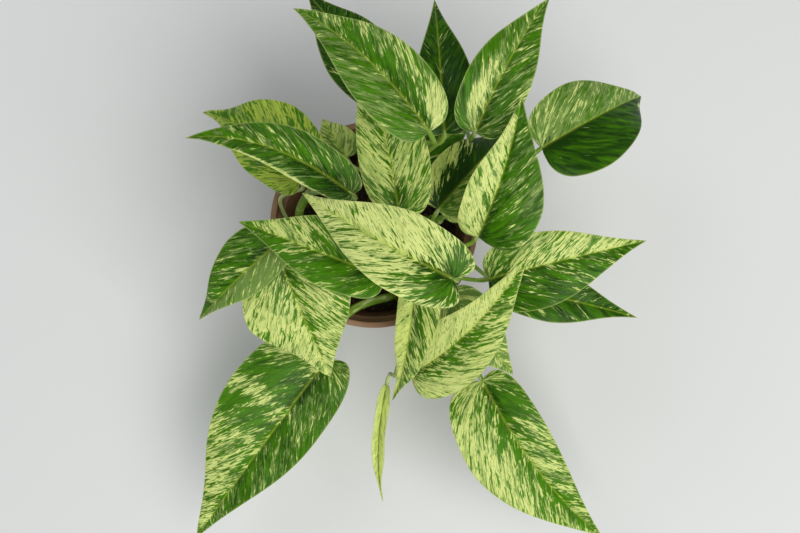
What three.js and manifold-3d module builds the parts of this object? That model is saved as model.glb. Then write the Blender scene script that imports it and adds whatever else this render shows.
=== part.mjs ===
// A variegated pothos in a nursery pot: the pot, its soil, the rooted vines, and every leaf as a blade on its
// own petiole. Millimetres, +Z up, with the origin at the centre of the pot's underside.

import * as THREE from 'three';
import { mergeVertices } from 'three/addons/utils/BufferGeometryUtils.js';
import manifoldModule from 'manifold-3d';

const wasm = await manifoldModule();
wasm.setup();
const { Manifold, Mesh: SolidMesh } = wasm;

// ---------------------------------------------------------------------------------------------- driving sizes

// The pot
const RIM_RADIUS = 52.5;
const POT_HEIGHT = 92;
const BASE_RADIUS = 36.5;
const BASE_ROUND = 1; // the rounded edge of the underside
const WALL = 1.4;
const FLOOR = 2.2;
const LIP_WIDTH = 3;
const LIP_HEIGHT = 3.2;
const LIP_OVERHANG = 1.5; // how far the lip stands out from the collar
const COLLAR_HEIGHT = 11;
const COLLAR_STEP = 3.2; // how far the wall steps in below the collar
const DRAIN_COUNT = 8;
const DRAIN_RADIUS = 3.5;
const DRAIN_INSET = 9; // from the edge of the underside to the middle of a drain hole

// The soil
const SOIL_DEPTH = 35; // from the rim down to the soil
const SOIL_CROWN = 2.5; // how much higher its middle lies than its edge

// The plant
const VINE_RADIUS = 2.2;
const ROOT_DEPTH = 14; // how deep a vine's foot stands in the soil
const SOCKET_ROOM = 0.8; // clear space round that foot
const PETIOLE_RADIUS = 1.2;
const BLADE_THICKNESS = 0.7;
const GAP = 0.35; // between two pieces that meet

// The rim radius that the plant's points below are given for; over another pot the crown spreads with the rim.
const LAYOUT_RADIUS = 52.5;

// How finely round things are divided
const POT_SIDES = 64;
const DRAIN_SIDES = 16;
const VINE_SIDES = 8;
const PETIOLE_SIDES = 6;
const VINE_STEPS = 14;
const PETIOLE_STEPS = 12;

// ------------------------------------------------------------------------------------------------- materials

const plastic = new THREE.MeshStandardMaterial({ color: '#7a5238', roughness: 0.55, metalness: 0 });
const earth = new THREE.MeshStandardMaterial({ color: '#2a2018', roughness: 1, metalness: 0 });
const stemGreen = new THREE.MeshStandardMaterial({ color: '#8fae4c', roughness: 0.5, metalness: 0 });
const leafGreen = new THREE.MeshStandardMaterial({ color: '#7fa63f', roughness: 0.45, metalness: 0 });

// --------------------------------------------------------------------------------------------------- helpers

const UP = new THREE.Vector3(0, 0, 1);
const plant = new THREE.Group();

/** Put one piece into the object under its own name. */
function add(name, geometry, material) {
  const mesh = new THREE.Mesh(geometry, material);
  mesh.name = name;
  plant.add(mesh);
}

/** A closed three.js geometry as a manifold solid. */
function solidOf(geometry) {
  const bare = new THREE.BufferGeometry();
  bare.setAttribute('position', geometry.getAttribute('position'));
  bare.setIndex(geometry.index);
  const merged = mergeVertices(bare, 1e-4);
  return new Manifold(new SolidMesh({
    numProp: 3,
    vertProperties: Float32Array.from(merged.getAttribute('position').array),
    triVerts: Uint32Array.from(merged.index.array),
  }));
}

/** A manifold solid as a three.js geometry. */
function geometryOf(solid) {
  const mesh = solid.getMesh();
  const geometry = new THREE.BufferGeometry();
  geometry.setAttribute('position', new THREE.BufferAttribute(Float32Array.from(mesh.vertProperties), 3));
  geometry.setIndex(Array.from(mesh.triVerts));
  return geometry;
}

/** A solid of revolution about Z from a profile of [radius, height] points. */
function turned(profile) {
  const points = profile.map(([radius, height]) => new THREE.Vector2(radius, height));
  return new THREE.LatheGeometry(points, POT_SIDES).rotateX(Math.PI / 2);
}

/** A round rod along a curve. */
function rod(curve, radius, sides, steps) {
  const section = new THREE.Shape();
  section.absarc(0, 0, radius, 0, 2 * Math.PI);
  const options = { steps, curveSegments: sides / 2, bevelEnabled: false, extrudePath: curve };
  return new THREE.ExtrudeGeometry(section, options);
}

/** A point of the plant, given from the middle of the rim, in the object's frame. */
function place([x, y, z]) {
  const radius = Math.hypot(x, y);
  const inside = Math.min(radius, LAYOUT_RADIUS);
  const spread = radius > 0 ? 1 + (inside / radius) * (RIM_RADIUS / LAYOUT_RADIUS - 1) : 1;
  return new THREE.Vector3(x * spread, y * spread, POT_HEIGHT + z);
}

// --------------------------------------------------------------------------------------------------- the pot

const collarRadius = RIM_RADIUS - LIP_OVERHANG;
const collarBottom = POT_HEIGHT - COLLAR_HEIGHT;
const ledge = collarBottom + WALL; // where the wall steps out, inside
const wallTopRadius = collarRadius - COLLAR_STEP;

/** The inside radius of the tapering wall at a height. */
function insideRadius(height) {
  const share = (height - FLOOR) / (ledge - FLOOR);
  return THREE.MathUtils.lerp(BASE_RADIUS, wallTopRadius, share) - WALL;
}

function makePot() {
  const lipRound = LIP_WIDTH / 4;
  const shell = turned([
    [0, 0],
    [BASE_RADIUS - BASE_ROUND, 0],
    [BASE_RADIUS, BASE_ROUND],
    [wallTopRadius, collarBottom],
    [collarRadius, collarBottom + WALL / 2],
    [collarRadius, POT_HEIGHT - LIP_HEIGHT],
    [RIM_RADIUS, POT_HEIGHT - LIP_HEIGHT + lipRound],
    [RIM_RADIUS, POT_HEIGHT - lipRound],
    [RIM_RADIUS - lipRound, POT_HEIGHT],
    [RIM_RADIUS - LIP_WIDTH + lipRound, POT_HEIGHT],
    [RIM_RADIUS - LIP_WIDTH, POT_HEIGHT - lipRound],
    [collarRadius - WALL, ledge + WALL / 2],
    [insideRadius(ledge), ledge],
    [insideRadius(FLOOR), FLOOR],
    [0, FLOOR],
  ]);
  let pot = solidOf(shell);
  for (let i = 0; i < DRAIN_COUNT; i += 1) {
    const turn = (2 * Math.PI * (i + 0.5)) / DRAIN_COUNT;
    const reach = BASE_RADIUS - DRAIN_INSET;
    const hole = Manifold.cylinder(3 * FLOOR, DRAIN_RADIUS, DRAIN_RADIUS, DRAIN_SIDES);
    pot = pot.subtract(hole.translate([reach * Math.cos(turn), reach * Math.sin(turn), -FLOOR]));
  }
  add('pot', geometryOf(pot), plastic);
}

// ------------------------------------------------------------------------------------------------- the vines

/**
 * The stems, each as points [x, y, z] from the middle of the rim. The first gives where it stands in the soil;
 * its foot goes straight down from there. The last is its growing end.
 */
const VINES = {
  vine_front: [[10, -14, -20], [14, -17, 0], [20, -20, 18], [24, -20, 34]],
  vine_right: [[24, 2, -20], [29, 2, 0], [33, 0, 14]],
  vine_back: [[4, 16, -20], [6, 18, -4], [10, 20, 12], [12, 19, 27]],
  vine_left: [[-33, -10, -20], [-38, -2, -8], [-37, 7, 4], [-30, 15, 15], [-20, 16, 26]],
  vine_middle: [[-8, -12, -20], [-9, -16, -6], [-8, -20, 14], [-5, -22, 26]],
  vine_over_left: [[11, -35, -20], [6, -37, -6], [-8, -42, 3], [-17, -50, 7], [-22, -60, 0]],
  vine_over_right: [[28, -22, -20], [30, -28, -6], [34, -36, 5], [41, -48, 7]],
  vine_over_front: [[19, -31, -20], [18, -36, -6], [16, -45, 5], [14, -55, 7]],
};

/** The curve of a vine, from the bottom of its foot to its growing end. */
function vineCurve(points) {
  const [x, y] = points[0];
  const soil = -SOIL_DEPTH;
  const foot = [soil - ROOT_DEPTH, soil - ROOT_DEPTH / 2, soil + SOIL_CROWN];
  const rooted = foot.map((z) => [x, y, z]);
  return new THREE.CatmullRomCurve3([...rooted, ...points].map(place));
}

const vineCurves = {};
for (const [name, points] of Object.entries(VINES)) vineCurves[name] = vineCurve(points);

function makeVines() {
  for (const [name, curve] of Object.entries(vineCurves)) {
    add(name, rod(curve, VINE_RADIUS, VINE_SIDES, VINE_STEPS), stemGreen);
  }
}

// -------------------------------------------------------------------------------------------------- the soil

function makeSoil() {
  const top = POT_HEIGHT - SOIL_DEPTH;
  const bottom = FLOOR + GAP;
  const edge = insideRadius(top) - GAP;
  let soil = solidOf(turned([
    [0, bottom],
    [insideRadius(bottom) - GAP, bottom],
    [edge, top],
    [0.7 * edge, top + 0.6 * SOIL_CROWN],
    [0.35 * edge, top + 0.9 * SOIL_CROWN],
    [0, top + SOIL_CROWN],
  ]));
  const room = VINE_RADIUS + SOCKET_ROOM;
  for (const [x, y] of Object.values(VINES).map((points) => points[0])) {
    const at = place([x, y, -SOIL_DEPTH - ROOT_DEPTH - GAP]);
    soil = soil.subtract(Manifold.cylinder(2 * ROOT_DEPTH, room, room, 2 * VINE_SIDES).translate(at.toArray()));
  }
  add('potting_soil', geometryOf(soil), earth);
}

// ------------------------------------------------------------------------------------------------ the leaves

/**
 * Every leaf. vine and node: the stem it grows from and how far along it; via: a point its petiole passes;
 * base: where the petiole meets the blade; tip: the blade's point; all from the middle of the rim. width: the
 * flat blade's width. arch and sweep: how far the midrib bows up, and to the blade's right, from a straight
 * line. roll: how far the right side is turned down. fold: how far both halves rise from the midrib. lean: how much
 * wider the left half is than the right, as a share. full: how long the blade stays broad towards its tip, about
 * 1. lobe: how far the lobes reach back past the petiole, as a share of the length. Angles in degrees.
 */
const LEAVES = {
  crown: { vine: 'vine_front', node: 0.97, via: [31, -22, 58], base: [35, -35, 95], tip: [-30, 4, 78],
    width: 36, arch: 8, sweep: -2, roll: 0, fold: 14, lean: 0, full: 0.85, lobe: 0.1 },
  shoulder: { vine: 'vine_over_front', node: 0.97, via: [16, -66, 6], base: [19, -75, 15], tip: [70, -23, 72],
    width: 34, arch: 4, sweep: 5, roll: 8, fold: 12, lean: -0.12, full: 1, lobe: 0.04 },
  front: { vine: 'vine_front', node: 0.77, via: [21, -28, 34], base: [20, -34, 46], tip: [9, -89, -8],
    width: 27, arch: 10, sweep: -2, roll: 20, fold: 10, lean: 0.45, full: 0.8, lobe: 0.04 },
  right: { vine: 'vine_front', node: 0.9, via: [40, -30, 38], base: [55, -31, 38], tip: [129, -13, 40],
    width: 36, arch: 8, sweep: 0, roll: 5, fold: 8, lean: -0.1, full: 0.9, lobe: 0.02 },
  right_low: { vine: 'vine_right', node: 0.6, via: [48, -20, 4], base: [66, -32, 4], tip: [134, -47, -10],
    width: 27, arch: 8, sweep: 0, roll: 0, fold: 8, lean: 0, full: 0.8, lobe: 0.04 },
  left: { vine: 'vine_middle', node: 0.95, via: [2, -30, 44], base: [5, -32, 62], tip: [-62, -5, 48],
    width: 33, arch: 8, sweep: 0, roll: 0, fold: 10, lean: -0.1, full: 0.9, lobe: 0.03 },
  left_low: { vine: 'vine_left', node: 0.55, via: [-27, 0, 24], base: [-41, -12, 44], tip: [-86, -49, 9],
    width: 29, arch: 7, sweep: 0, roll: 0, fold: 10, lean: -0.15, full: 0.7, lobe: 0.03 },
  front_left: { vine: 'vine_middle', node: 0.7, via: [-28, -20, 10], base: [-43, -25, 28], tip: [-22, -77, -8],
    width: 53, arch: 7, sweep: 0, roll: 8, fold: 5, lean: 0, full: 0.6, lobe: 0.05 },
  trailing_left: { vine: 'vine_over_left', node: 0.97, via: [-22, -63, -20], base: [-26, -69, -30],
    tip: [-96, -163, -52], width: 56, arch: 10, sweep: 0, roll: 0, fold: 6, lean: -0.23, full: 1, lobe: 0.06 },
  trailing_right: { vine: 'vine_over_right', node: 0.97, via: [50, -66, -2], base: [55, -79, -12],
    tip: [120, -161, -40], width: 45, arch: 10, sweep: 6, roll: 0, fold: 8, lean: -0.2, full: 0.95, lobe: 0.03 },
  furled: { vine: 'vine_over_front', node: 0.95, via: [11, -75, 3], base: [6, -82, -16], tip: [4, -143, -44],
    width: 14, arch: 6, sweep: 3, roll: 0, fold: 60, lean: 0, full: 1, lobe: 0.02 },
  back_left: { vine: 'vine_back', node: 0.97, via: [27, 30, 48], base: [26, 31, 80], tip: [-36, 92, 62],
    width: 35, arch: 8, sweep: 4, roll: 0, fold: 14, lean: 0, full: 1, lobe: 0.01 },
  back_left_low: { vine: 'vine_back', node: 0.7, via: [4, 42, 14], base: [5, 62, 22], tip: [-34, 117, 6],
    width: 34, arch: 8, sweep: 0, roll: 0, fold: 8, lean: 0, full: 0.9, lobe: 0.04 },
  back: { vine: 'vine_back', node: 0.86, via: [24, 34, 38], base: [34, 38, 44], tip: [30, 109, 22],
    width: 28, arch: 8, sweep: 0, roll: 0, fold: 10, lean: -0.1, full: 0.7, lobe: 0.03 },
  back_low: { vine: 'vine_back', node: 0.76, via: [18, 25, 8], base: [22, 29, 15], tip: [53, 66, -10],
    width: 22, arch: 4, sweep: 0, roll: 0, fold: 8, lean: 0, full: 0.9, lobe: 0.03 },
  back_right: { vine: 'vine_back', node: 0.92, via: [42, 43, 30], base: [48, 36, 54], tip: [84, 102, 46],
    width: 31, arch: 8, sweep: -2, roll: 0, fold: 12, lean: 0, full: 1, lobe: 0.02 },
  far_right: { vine: 'vine_right', node: 0.8, via: [60, 8, 8], base: [82, 34, 26], tip: [139, 69, -16],
    width: 45, arch: 9, sweep: 0, roll: 0, fold: 5, lean: -0.08, full: 1.2, lobe: 0.03 },
  right_high: { vine: 'vine_front', node: 0.85, via: [40, -17, 40], base: [49, -12, 50], tip: [68, 49, 70],
    width: 37, arch: 6, sweep: 2, roll: 0, fold: 12, lean: -0.25, full: 0.9, lobe: 0.02 },
  right_back: { vine: 'vine_right', node: 0.7, via: [30, -3, 16], base: [32, 4, 26], tip: [68, 47, -6],
    width: 34, arch: 8, sweep: 0, roll: 0, fold: 10, lean: 0, full: 1, lobe: 0.04 },
  middle_back: { vine: 'vine_left', node: 0.97, via: [-2, 0, 42], base: [13, -2, 52], tip: [-2, 81, 30],
    width: 37, arch: 8, sweep: 0, roll: 0, fold: 12, lean: 0, full: 1, lobe: 0.03 },
  left_high: { vine: 'vine_left', node: 0.9, via: [-16, 9.5, 46], base: [-9, 6, 64], tip: [-88, 35, 44],
    width: 23, arch: 9, sweep: 7, roll: 0, fold: 12, lean: -0.09, full: 1, lobe: 0.04 },
  left_back: { vine: 'vine_left', node: 0.47, via: [-47, 12, 4], base: [-36, 20, 22], tip: [-89, 59, -10],
    width: 40, arch: 8, sweep: 4, roll: 0, fold: 8, lean: -0.2, full: 0.8, lobe: 0.08 },
  small_back: { vine: 'vine_back', node: 0.5, via: [-6, 26, 2], base: [-14, 32, 10], tip: [-26, 52, 8],
    width: 20, arch: 3, sweep: 0, roll: 0, fold: 10, lean: 0, full: 1, lobe: 0.04 },
  under_shoulder: { vine: 'vine_over_right', node: 0.6, via: [32, -33, 7], base: [36, -39, 16],
    tip: [70, -76, -4], width: 30, arch: 6, sweep: 0, roll: 0, fold: 8, lean: 0, full: 0.9, lobe: 0.04 },
};

const LOBE_ROWS = 4;
const TIP_ROWS = 6;
const BLADE_ROWS = LOBE_ROWS + TIP_ROWS;
const HALF_COLUMNS = 3;
const VEIN_SWEEP = 1.4; // above 1, the rows lean forward from the midrib to the margin, as the veins do
const WIDEST = 0.27; // where a blade is broadest, as a share of its length

/**
 * Half of a flat blade's outline at a row, from 0 at the back of the lobe to BLADE_ROWS at the tip: how far
 * along the midrib, and how far out as a share of the half width.
 */
function outlineAt(row, { full, lobe: reach }) {
  const shoulder = new THREE.Vector2(WIDEST, 1);
  const lobe = new THREE.CubicBezierCurve(
    new THREE.Vector2(-0.4 * reach, 0.1),
    new THREE.Vector2(-1.6 * reach, 0.55),
    new THREE.Vector2(0.02 - 0.3 * reach, 1),
    shoulder,
  );
  const taper = new THREE.CubicBezierCurve(
    shoulder,
    new THREE.Vector2(WIDEST + 0.28 * full, 1),
    new THREE.Vector2(0.8, 0.3 * full),
    new THREE.Vector2(1, 0),
  );
  return row < LOBE_ROWS ? lobe.getPoint(row / LOBE_ROWS) : taper.getPoint((row - LOBE_ROWS) / TIP_ROWS);
}

/** The curved surface of one blade: a point and the upward normal for a share along and a distance across. */
function bladeSurface(leaf) {
  const base = place(leaf.base);
  const tip = place(leaf.tip);
  const right = new THREE.Vector3().subVectors(tip, base).cross(UP).normalize();
  const lift = new THREE.Vector3().crossVectors(right, new THREE.Vector3().subVectors(tip, base)).normalize();
  const belly = new THREE.Vector3().addVectors(base, tip).multiplyScalar(0.5);
  belly.addScaledVector(lift, 2 * leaf.arch).addScaledVector(right, 2 * leaf.sweep);
  const midrib = new THREE.QuadraticBezierCurve3(base, belly, tip);
  const length = midrib.getLength();
  const roll = THREE.MathUtils.degToRad(leaf.roll);
  const fold = THREE.MathUtils.degToRad(leaf.fold);
  return {
    length,
    at(along, across) {
      const tangent = midrib.getTangent(Math.max(along, 0));
      const point = midrib.getPoint(Math.max(along, 0));
      point.addScaledVector(tangent, Math.min(along, 0) * length);
      const side = new THREE.Vector3().crossVectors(tangent, UP).normalize();
      side.applyAxisAngle(tangent, roll);
      const normal = new THREE.Vector3().crossVectors(side, tangent);
      const out = side.clone().multiplyScalar(across * Math.cos(fold));
      out.addScaledVector(normal, Math.abs(across) * Math.sin(fold));
      const room = (0.8 * Math.abs(across) * Math.cos(fold)) / (BLADE_THICKNESS / 2); // its own half only
      const facing = normal.clone().multiplyScalar(Math.cos(fold));
      facing.addScaledVector(side, -Math.sign(across) * Math.min(Math.sin(fold), room));
      return { point: point.add(out), normal: facing, tangent, up: normal };
    },
  };
}

/**
 * A blade as one closed sheet. Row 0 runs round the sinus, from the back of one lobe to the petiole and on to
 * the back of the other; the last row is the tip, a single point of each face.
 */
function bladeGeometry(leaf, surface) {
  const half = BLADE_THICKNESS / 2;
  const columns = 2 * HALF_COLUMNS + 1;
  const positions = [];
  const triangles = [];
  const put = (spot, sign) => {
    const at = spot.point.clone().addScaledVector(spot.normal, sign * half);
    positions.push(at.x, at.y, at.z);
  };
  const spotAt = (row, column) => {
    const edge = outlineAt(row, leaf);
    const share = column / HALF_COLUMNS - 1;
    const spine = (row / BLADE_ROWS) ** VEIN_SWEEP;
    const along = THREE.MathUtils.lerp(spine, edge.x, Math.abs(share));
    const halfWidth = (leaf.width / 2) * (1 - Math.sign(share) * leaf.lean);
    return surface.at(along, share * edge.y * halfWidth);
  };
  for (const sign of [1, -1]) {
    for (let row = 0; row < BLADE_ROWS; row += 1) {
      for (let column = 0; column < columns; column += 1) put(spotAt(row, column), sign);
    }
    put(surface.at(1, 0), sign);
  }
  const face = BLADE_ROWS * columns + 1;
  const id = (row, column, under) => (row < BLADE_ROWS ? row * columns + column : face - 1) + (under ? face : 0);
  const quad = (a, b, c, d) => {
    if (a !== b && b !== c) triangles.push(a, b, c);
    if (c !== d && d !== a) triangles.push(a, c, d);
  };
  for (let row = 0; row < BLADE_ROWS; row += 1) {
    for (let column = 0; column < columns - 1; column += 1) {
      quad(id(row, column), id(row, column + 1), id(row + 1, column + 1), id(row + 1, column));
      quad(id(row, column + 1, 1), id(row, column, 1), id(row + 1, column, 1), id(row + 1, column + 1, 1));
    }
    const last = columns - 1;
    quad(id(row, last), id(row, last, 1), id(row + 1, last, 1), id(row + 1, last));
    quad(id(row, 0, 1), id(row, 0), id(row + 1, 0), id(row + 1, 0, 1));
  }
  for (let column = 0; column < columns - 1; column += 1) {
    quad(id(0, column + 1), id(0, column), id(0, column, 1), id(0, column + 1, 1));
  }
  const geometry = new THREE.BufferGeometry();
  geometry.setAttribute('position', new THREE.Float32BufferAttribute(positions, 3));
  geometry.setIndex(triangles);
  return geometry;
}

/** The petiole's curve: square off its vine, past its via point, and up to the blade from below and behind. */
function petioleCurve(leaf, surface) {
  const vine = vineCurves[leaf.vine];
  const heart = vine.getPointAt(leaf.node);
  const along = vine.getTangentAt(leaf.node);
  const via = place(leaf.via);
  const away = new THREE.Vector3().subVectors(via, heart).projectOnPlane(along).normalize();
  const reach = VINE_RADIUS + GAP;
  const start = heart.clone().addScaledVector(away, reach);
  const shoulder = heart.clone().addScaledVector(away, reach + 2.5 * PETIOLE_RADIUS);
  const { point, tangent, up } = surface.at(0, 0);
  const end = point.clone().addScaledVector(tangent, -1.7 * PETIOLE_RADIUS);
  end.addScaledVector(up, -(BLADE_THICKNESS / 2 + GAP + 0.8 * PETIOLE_RADIUS));
  const coming = new THREE.Vector3().subVectors(via, end).normalize();
  const behind = tangent.clone().negate().addScaledVector(up, -0.6).normalize();
  const neck = end.clone().addScaledVector(coming.add(behind).normalize(), 3.6 * PETIOLE_RADIUS);
  return new THREE.CatmullRomCurve3([start, shoulder, via, neck, end]);
}

function makeLeaves() {
  for (const [name, leaf] of Object.entries(LEAVES)) {
    const surface = bladeSurface(leaf);
    add(`blade_${name}`, bladeGeometry(leaf, surface), leafGreen);
    const curve = petioleCurve(leaf, surface);
    add(`petiole_${name}`, rod(curve, PETIOLE_RADIUS, PETIOLE_SIDES, PETIOLE_STEPS), stemGreen);
  }
}

// ------------------------------------------------------------------------------------------------ the object

makePot();
makeSoil();
makeVines();
makeLeaves();

export default plant;
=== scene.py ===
# %% [markdown]
# # A marbled pothos in a nursery pot
# A young climbing plant looks simple from far off, but each leaf is a heart-shaped sheet with its own fold, its own
# bow and its own marbling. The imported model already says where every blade, stalk, stem and the pot are. This
# script reads those coarse shapes back, spins a fine surface over each one and gives it its finish.

import bmesh
import bpy
import numpy as np
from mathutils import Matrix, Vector


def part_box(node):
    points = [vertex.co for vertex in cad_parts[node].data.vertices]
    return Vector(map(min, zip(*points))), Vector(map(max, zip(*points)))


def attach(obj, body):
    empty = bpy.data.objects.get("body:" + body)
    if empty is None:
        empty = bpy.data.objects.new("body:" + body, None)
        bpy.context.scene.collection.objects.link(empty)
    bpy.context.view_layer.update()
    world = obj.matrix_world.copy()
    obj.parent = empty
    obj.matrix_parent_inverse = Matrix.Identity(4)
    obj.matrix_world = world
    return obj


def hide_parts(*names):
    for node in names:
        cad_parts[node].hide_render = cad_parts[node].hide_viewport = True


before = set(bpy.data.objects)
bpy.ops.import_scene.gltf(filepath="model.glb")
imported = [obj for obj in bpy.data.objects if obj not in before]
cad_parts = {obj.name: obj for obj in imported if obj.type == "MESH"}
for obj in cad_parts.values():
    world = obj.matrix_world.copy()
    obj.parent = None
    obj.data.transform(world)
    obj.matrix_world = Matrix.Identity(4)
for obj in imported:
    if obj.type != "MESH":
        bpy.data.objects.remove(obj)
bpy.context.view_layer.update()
MM = 0.001
UP = np.array([0.0, 0.0, 1.0])
leaf_names = sorted(name[len("blade_"):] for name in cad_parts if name.startswith("blade_"))
vine_names = sorted(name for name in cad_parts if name.startswith("vine_"))
print("the model holds", len(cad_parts), "nodes,", len(leaf_names), "leaves and", len(vine_names), "stems")

# %% [markdown]
# ## The picture
# The plant is seen from almost straight above, with the camera tipped back five degrees, so that the front of the
# rim shows its inside. A long enough lens keeps the high leaves from growing too large. The aim is given from the
# middle of the pot's rim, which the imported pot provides.

# %% Camera
pot_low, pot_high = (np.array(corner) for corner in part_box("pot"))
rim_radius = (pot_high[0] - pot_low[0]) / 2
rim_height = pot_high[2]
AIM_FROM_RIM = np.array([0.0131, -0.0217, 0.0])
CAMERA_DISTANCE = 0.600
CAMERA_TILT = np.radians(5)
CAMERA_LENS = 53.69


def in_scene(name, data):
    """A new object with this data, linked to the scene."""
    made = bpy.data.objects.new(name, data)
    bpy.context.scene.collection.objects.link(made)
    return made


camera_back = np.array([0, -np.sin(CAMERA_TILT), np.cos(CAMERA_TILT)])
aim = AIM_FROM_RIM + rim_height * UP
camera = in_scene("camera", bpy.data.cameras.new("camera"))
camera.data.lens = CAMERA_LENS
camera.data.clip_start = 0.01
camera.location = Vector(aim + CAMERA_DISTANCE * camera_back)
camera.rotation_euler = (CAMERA_TILT, 0, 0)
bpy.context.scene.camera = camera
bpy.context.scene.view_settings.view_transform = "Standard"
print("the rim is", round(2 * rim_radius / MM, 1), "mm across and", round(rim_height / MM, 1), "mm high")

# %% [markdown]
# ## The floor and the light
# A pale floor carries the pot, and the light is that of a bright room: one broad panel high in front on the right, a
# weaker one behind on the left, and a pale sky that fills the shade between the leaves.

# %% Floor
FLOOR_HALF = 3.0


def start_material(name, settings):
    """A new material, its node tree and its Principled shader, with some of the shader's inputs set."""
    material = bpy.data.materials.new(name)
    material.use_nodes = True
    shader = material.node_tree.nodes["Principled BSDF"]
    for title, value in settings.items():
        shader.inputs[title].default_value = value
    return material, material.node_tree, shader


floor_mesh = bpy.data.meshes.new("floor")
floor_corners = [(FLOOR_HALF * x, FLOOR_HALF * y, 0) for x, y in ((-1, -1), (1, -1), (1, 1), (-1, 1))]
floor_mesh.from_pydata(floor_corners, [], [(0, 1, 2, 3)])
floor_paint, _, _ = start_material("pale_floor", {"Base Color": (0.82, 0.85, 0.89, 1), "Roughness": 0.9})
floor_mesh.materials.append(floor_paint)
floor = in_scene("floor", floor_mesh)
print("the floor is", 2 * FLOOR_HALF, "m wide")

# %% Lights
world = bpy.data.worlds.new("room")
bpy.context.scene.world = world
world.use_nodes = True
sky = world.node_tree.nodes["Background"]
sky.inputs["Color"].default_value = (1.0, 0.99, 0.95, 1)
sky.inputs["Strength"].default_value = 0.25


def panel(name, place, size, power, warmth):
    """A square light panel that faces the plant from a place, in metres, with a power in watts."""
    light = bpy.data.lights.new(name, "AREA")
    light.shape, light.size, light.energy, light.color = "SQUARE", size, power, warmth
    lamp = in_scene(name, light)
    lamp.location = place
    lamp.rotation_euler = (Vector(place) - Vector(aim)).to_track_quat("Z", "Y").to_euler()


panel("main_panel", (0.50, -0.60, 1.45), 1.3, 20, (1.0, 0.97, 0.90))
panel("side_panel", (-0.8, 0.6, 1.3), 0.8, 3, (0.97, 0.99, 1.0))
print("the scene holds", len(bpy.data.lights), "light panels")

# %% [markdown]
# ## Reading a coarse shape back
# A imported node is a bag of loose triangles. Merging the corners that share a place and noting which corners are
# joined turns it into a graph, and the graph knows its own rows: every step away from a leaf's tip is one row of
# the leaf, and every step away from a stalk's end is one ring of the stalk.

# %% Lengths and directions
def lengths(vectors):
    """The length of each vector."""
    return np.linalg.norm(vectors, axis=-1)


def unit(vectors):
    """Vectors brought to length one."""
    return vectors / np.maximum(lengths(vectors)[..., None], 1e-12)


def run_of(line):
    """How far each point of a line is from its start, along the line."""
    return np.concatenate([[0], np.cumsum(lengths(np.diff(line, axis=0)))])


# %% Corners and their neighbours
MERGE_STEP = 1e-6


def corners_of(name):
    """The places of a node's corners, merged where they coincide, and a table of which corners share an edge."""
    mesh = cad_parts[name].data
    places = np.empty(len(mesh.vertices) * 3, np.float32)
    mesh.vertices.foreach_get("co", places)
    mesh.calc_loop_triangles()
    triangles = np.empty(len(mesh.loop_triangles) * 3, np.int32)
    mesh.loop_triangles.foreach_get("vertices", triangles)
    places = places.reshape(-1, 3).astype(float)
    keys = np.round(places / MERGE_STEP).astype(np.int64)
    _, first, index = np.unique(keys, axis=0, return_index=True, return_inverse=True)
    triangles = index.reshape(-1)[triangles.reshape(-1, 3)]
    joined = np.zeros((len(first), len(first)), bool)
    joined[triangles, np.roll(triangles, 1, axis=1)] = True
    return places[first], joined | joined.T, triangles


def rings_from(start, joined):
    """Masks of the corners that are 0, 1, 2 ... edges away from the starting corners."""
    seen, rings = start.copy(), [start]
    while not seen.all():
        ring = joined[rings[-1]].any(axis=0) & ~seen
        rings.append(ring)
        seen |= ring
    return rings


# %% A blade's rows and columns
BLADE_COLUMNS = 7
BLADE_WIDEST_ROW = 4


def walked(members, joined):
    """A ring's corners in order: from one corner, always on to a neighbour not yet passed."""
    order = [members[0]]
    for _ in members[1:]:
        order.append(next(k for k in members if joined[order[-1], k] and k not in order))
    return np.array(order)


def followed(members, before, places, joined):
    """A ring's corners in the order of the ring before: by the mean turn of their neighbours there, then rolled
    to the start that makes the steps between the two rings shortest."""
    turn = np.exp(2j * np.pi * np.arange(len(before)) / len(before))
    order = members[np.argsort(np.angle(joined[np.ix_(members, before)] @ turn))]
    rolls = [np.roll(order, k) for k in range(len(order))]
    return min(rolls, key=lambda o: lengths(places[o] - places[before]).sum())


def blade_grid(name):
    """A blade's middle surface, as rows from the sinus to the tip by columns from its left margin to its right.
    The two tip corners have the most neighbours. The widest row, whose walls are its two shortest opposite
    edges, says where each row's upper face ends and its lower face begins."""
    places, joined, _ = corners_of(name)
    tips = np.zeros(len(places), bool)
    tips[np.argsort(-joined.sum(axis=0))[:2]] = True
    rings = [np.flatnonzero(ring) for ring in rings_from(tips, joined)][::-1]
    rows = [None] * len(rings)
    loop = walked(rings[BLADE_WIDEST_ROW], joined)
    steps = lengths(places[loop] - places[np.roll(loop, 1)])
    start = np.argmin(steps + np.roll(steps, BLADE_COLUMNS))
    rows[BLADE_WIDEST_ROW] = np.roll(loop, -start)
    for towards in (1, -1):
        row = BLADE_WIDEST_ROW + towards
        while 0 <= row < len(rings) - 1:
            rows[row] = followed(rings[row], rows[row - towards], places, joined)
            row += towards
    loops = places[np.array(rows[:-1])].reshape(-1, 2 * BLADE_COLUMNS, 3)
    middle = (loops[:, :BLADE_COLUMNS] + loops[:, :BLADE_COLUMNS - 1:-1]) / 2
    tip = places[tips].mean(axis=0)
    grid = np.concatenate([middle, np.tile(tip, (1, BLADE_COLUMNS, 1))])
    right = np.cross(tip - grid[0].mean(axis=0), UP)
    across = grid[BLADE_WIDEST_ROW, -1] - grid[BLADE_WIDEST_ROW, 0]
    return grid if across @ right > 0 else grid[:, ::-1]


coarse_blades = {name: blade_grid("blade_" + name) for name in leaf_names}
print("each blade was read back as", coarse_blades["crown"].shape[:2], "rows and columns")

# %% A stalk's or stem's centre line
PETIOLE_SIDES, VINE_SIDES = 6, 8
IN_PLANE = 2e-6  # how far a corner of an end face may lie out of its plane


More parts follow.
